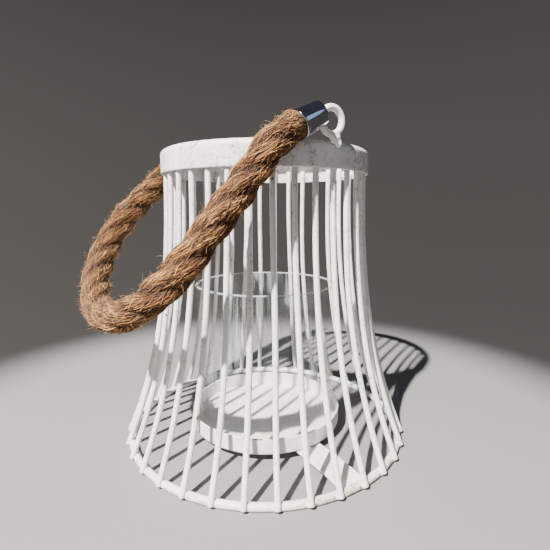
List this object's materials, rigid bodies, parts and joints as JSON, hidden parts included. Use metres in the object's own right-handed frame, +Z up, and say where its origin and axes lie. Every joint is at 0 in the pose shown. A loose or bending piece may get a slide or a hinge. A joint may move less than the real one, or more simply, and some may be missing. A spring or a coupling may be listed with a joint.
{
  "type": "hanging lantern",
  "caption": "Hanging lantern: a flared cage of white wires under a cap ring, with a tray, a loose glass cylinder and a swinging rope handle.",
  "frame": {"origin": "on the table, under the middle of the cage", "axes": "+Z up, -Y towards the front; the handle's swing axis is 30 degrees from Y"},
  "size_m": [0.2516, 0.242, 0.2513],
  "materials": {
    "cap_paint": "weathered satin paint",
    "wire_paint": "weathered satin paint",
    "base_paint": "scuffed satin paint",
    "tray_paint": "satin paint, chipped at the rim",
    "eyelet_paint": "satin paint",
    "ferrule_chrome": "polished",
    "rope_jute": "rough twisted jute",
    "clear_glass": "clear"
  },
  "bodies": {
    "cage": {"cap_ring": "cap_paint", "wire_01": "wire_paint", "wire_02": "wire_paint", "wire_03": "wire_paint", "wire_04": "wire_paint", "wire_05": "wire_paint", "wire_06": "wire_paint", "wire_07": "wire_paint", "wire_08": "wire_paint", "wire_09": "wire_paint", "wire_10": "wire_paint", "wire_11": "wire_paint", "wire_12": "wire_paint", "wire_13": "wire_paint", "wire_14": "wire_paint", "wire_15": "wire_paint", "wire_16": "wire_paint", "wire_17": "wire_paint", "wire_18": "wire_paint", "wire_19": "wire_paint", "wire_20": "wire_paint", "wire_21": "wire_paint", "wire_22": "wire_paint", "wire_23": "wire_paint", "wire_24": "wire_paint", "wire_25": "wire_paint", "wire_26": "wire_paint", "wire_27": "wire_paint", "wire_28": "wire_paint", "wire_29": "wire_paint", "wire_30": "wire_paint", "wire_31": "wire_paint", "wire_32": "wire_paint", "wire_33": "wire_paint", "wire_34": "wire_paint", "base_ring": "base_paint", "tray": "tray_paint", "tray_strap": "tray_paint", "eyelet_front": "eyelet_paint", "eyelet_rear": "eyelet_paint"},
    "handle": {"ferrule_front": "ferrule_chrome", "ferrule_rear": "ferrule_chrome", "rope_end_front": "rope_jute", "rope_end_rear": "rope_jute", "rope_handle": "rope_jute"},
    "glass": {"glass_cylinder": "clear_glass"}
  },
  "joints": [
    {"name": "handle_swing", "type": "hinge", "parent": "cage", "child": "handle", "pos_m": [0, 0, 0.2395], "axis": [-0.5, 0.866, 0], "range_deg": [0, 180]},
    {"name": "glass_lift", "type": "slide", "parent": "cage", "child": "glass", "axis": [0, 0, 1], "range_m": [0, 0.225]}
  ]
}
